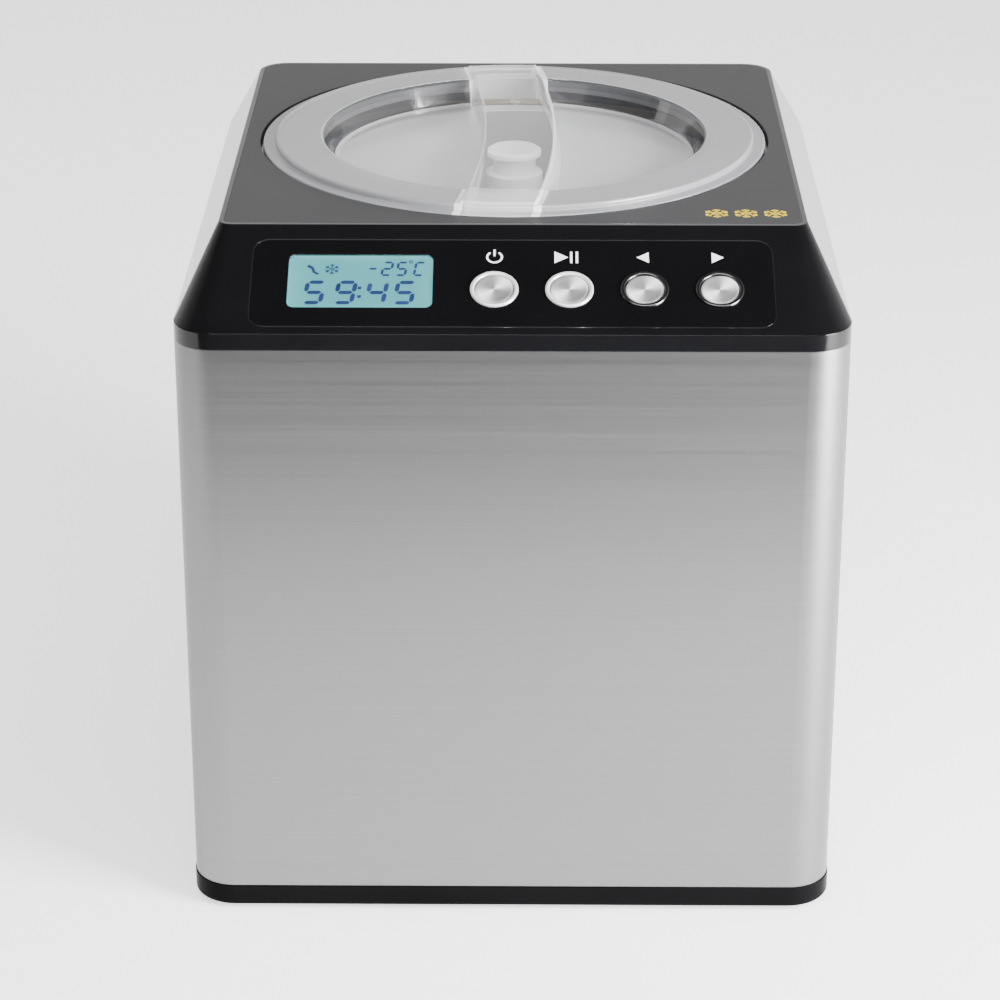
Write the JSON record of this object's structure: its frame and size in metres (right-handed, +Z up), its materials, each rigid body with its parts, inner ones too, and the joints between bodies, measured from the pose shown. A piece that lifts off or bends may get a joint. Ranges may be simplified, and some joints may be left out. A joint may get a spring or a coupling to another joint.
{
  "type": "ice cream maker",
  "caption": "Countertop compressor ice cream maker: steel-wrapped box with a sloping display panel, push buttons and a round lid with a grip bar over a lift-out bowl and driven paddle",
  "frame": {"origin": "on the worktop under the middle of the housing", "axes": "+X right, +Y to the back, +Z up, with the display on the -Y side"},
  "size_m": [0.2748, 0.3108, 0.2957],
  "materials": {
    "black_plastic": "fine-grain moulded",
    "wrap_steel": "satin brushed",
    "rear_plastic": "fine-grain moulded",
    "gloss_black": "polished",
    "deck_grey": "satin, dark grey",
    "trim_steel": "satin brushed",
    "overlay_black": "polished",
    "lens_clear": "clear",
    "lcd_face": "display",
    "board_green": "solder mask",
    "switch_black": "moulded",
    "ring_bright": "turned bright",
    "ring_dark": "dark satin",
    "cap_spun": "spun",
    "lid_smoke": "frosted translucent grey",
    "bowl_metal": "brushed",
    "paddle_white": "moulded",
    "well_metal": "drawn",
    "copper": "drawn copper tube",
    "foam": "foamed",
    "gear_case": "moulded",
    "gear_white": "moulded",
    "shaft_steel": "ground",
    "seal_rubber": "moulded",
    "motor_steel": "plated",
    "compressor_black": "enamel",
    "fin_metal": "rolled",
    "chassis_steel": "galvanised",
    "screw_steel": "plated"
  },
  "bodies": {
    "housing": {"base_tray": "black_plastic", "body_wrap": "wrap_steel", "rear_panel": "rear_plastic", "top_cover": "gloss_black", "top_deck": "deck_grey", "side_trim_left": "trim_steel", "side_trim_right": "trim_steel", "control_overlay": "overlay_black", "lcd_lens": "lens_clear", "lcd_module": "lcd_face", "display_board": "board_green", "tact_switches": "switch_black", "power_ring": "ring_bright", "start_ring": "ring_bright", "minus_ring": "ring_dark", "plus_ring": "ring_dark", "cooling_well": "well_metal", "evaporator_coil": "copper", "foam_jacket": "foam", "gearbox_case": "gear_case", "gearbox_cover": "gear_case", "motor_stator": "motor_steel", "shaft_seal": "seal_rubber", "compressor_lower": "compressor_black", "compressor_upper": "compressor_black", "compressor_grommets": "seal_rubber", "relay_cover": "gear_case", "condenser_fins": "fin_metal", "condenser_tube": "copper", "fan_shroud": "gear_case", "fan_motor": "gear_case", "suction_line": "copper", "discharge_line": "copper", "liquid_line": "copper", "capillary_tube": "copper", "filter_drier": "copper", "power_board": "board_green", "power_inlet": "black_plastic", "chassis_plate": "chassis_steel", "chassis_posts": "chassis_steel", "rear_screws": "screw_steel", "base_screws": "screw_steel", "foot_front_left": "seal_rubber", "foot_front_right": "seal_rubber", "foot_rear_left": "seal_rubber", "foot_rear_right": "seal_rubber"},
    "bowl": {"bowl": "bowl_metal"},
    "lid": {"lid": "lid_smoke"},
    "paddle": {"paddle": "paddle_white"},
    "output_drive": {"output_gear": "gear_white", "drive_shaft": "shaft_steel"},
    "idler": {"idler_gear": "gear_white"},
    "motor": {"motor_rotor": "motor_steel", "motor_pinion": "gear_white"},
    "fan": {"fan_blade": "gear_case"},
    "power_key": {"power_button": "cap_spun"},
    "start_key": {"start_button": "cap_spun"},
    "minus_key": {"minus_button": "cap_spun"},
    "plus_key": {"plus_button": "cap_spun"}
  },
  "joints": [
    {"name": "drive_spin", "type": "hinge", "parent": "housing", "child": "output_drive", "pos_m": [0, 0.0232, 0.14], "axis": [0, 0, 1], "continuous": true},
    {"name": "idler_spin", "type": "hinge", "parent": "housing", "child": "idler", "pos_m": [0.01556, -0.01365, 0.14], "axis": [0, 0, 1], "continuous": true},
    {"name": "motor_spin", "type": "hinge", "parent": "housing", "child": "motor", "pos_m": [0, -0.045, 0.09], "axis": [0, 0, 1], "continuous": true},
    {"name": "paddle_spin", "type": "hinge", "parent": "bowl", "child": "paddle", "pos_m": [0, 0.0232, 0.2], "axis": [0, 0, 1], "continuous": true},
    {"name": "fan_spin", "type": "hinge", "parent": "housing", "child": "fan", "pos_m": [0.089, -0.038, 0.08], "axis": [1, 0, 0], "continuous": true},
    {"name": "bowl_lift", "type": "slide", "parent": "housing", "child": "bowl", "axis": [0, 0, 1], "range_m": [0, 0.14]},
    {"name": "lid_lift", "type": "slide", "parent": "bowl", "child": "lid", "axis": [0, 0, 1], "range_m": [0, 0.08]},
    {"name": "power_press", "type": "slide", "parent": "housing", "child": "power_key", "axis": [0, 0.4459, -0.8951], "range_m": [0, 0.001], "stiffness_N_per_m": 1500},
    {"name": "start_press", "type": "slide", "parent": "housing", "child": "start_key", "axis": [0, 0.4459, -0.8951], "range_m": [0, 0.001], "stiffness_N_per_m": 1500},
    {"name": "minus_press", "type": "slide", "parent": "housing", "child": "minus_key", "axis": [0, 0.4459, -0.8951], "range_m": [0, 0.001], "stiffness_N_per_m": 1500},
    {"name": "plus_press", "type": "slide", "parent": "housing", "child": "plus_key", "axis": [0, 0.4459, -0.8951], "range_m": [0, 0.001], "stiffness_N_per_m": 1500}
  ],
  "couplings": [
    {"joint": "idler_spin", "follows": "drive_spin", "ratio": -3.5714},
    {"joint": "motor_spin", "follows": "drive_spin", "ratio": 14.286},
    {"joint": "paddle_spin", "follows": "drive_spin", "ratio": 1}
  ]
}
